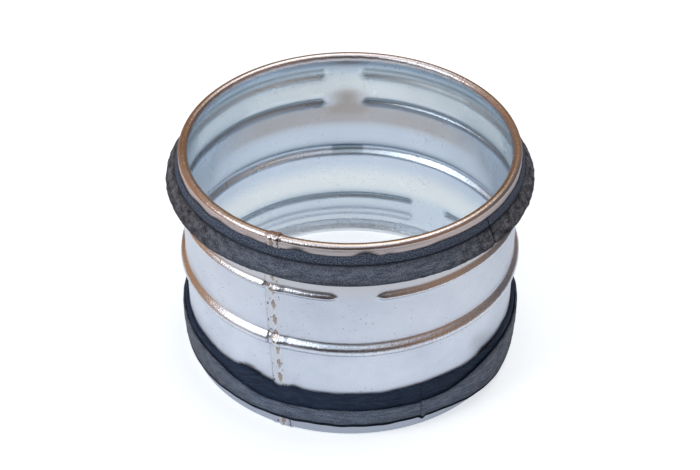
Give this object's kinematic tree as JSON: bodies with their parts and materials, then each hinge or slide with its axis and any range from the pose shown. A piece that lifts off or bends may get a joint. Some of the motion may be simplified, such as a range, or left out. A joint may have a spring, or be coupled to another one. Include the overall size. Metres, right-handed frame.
{
  "type": "duct connector",
  "caption": "Short sheet metal sleeve that joins round ducts end to end, with curled rims, a stop bead round the middle and a rubber lip gasket near each end.",
  "frame": {"origin": "centre of the lower rim, on the plane that the connector stands on", "axes": "+Z along the axis of the duct, from the lower rim to the upper one; -Y is the front, a little right of the lap seam"},
  "size_m": [0.135, 0.135, 0.087],
  "materials": {
    "zinc_sheet": "satin galvanised sheet",
    "rubber": "matt black rubber"
  },
  "bodies": {
    "root": {"sleeve": "zinc_sheet", "upper_gasket": "rubber", "lower_gasket": "rubber"}
  },
  "joints": []
}
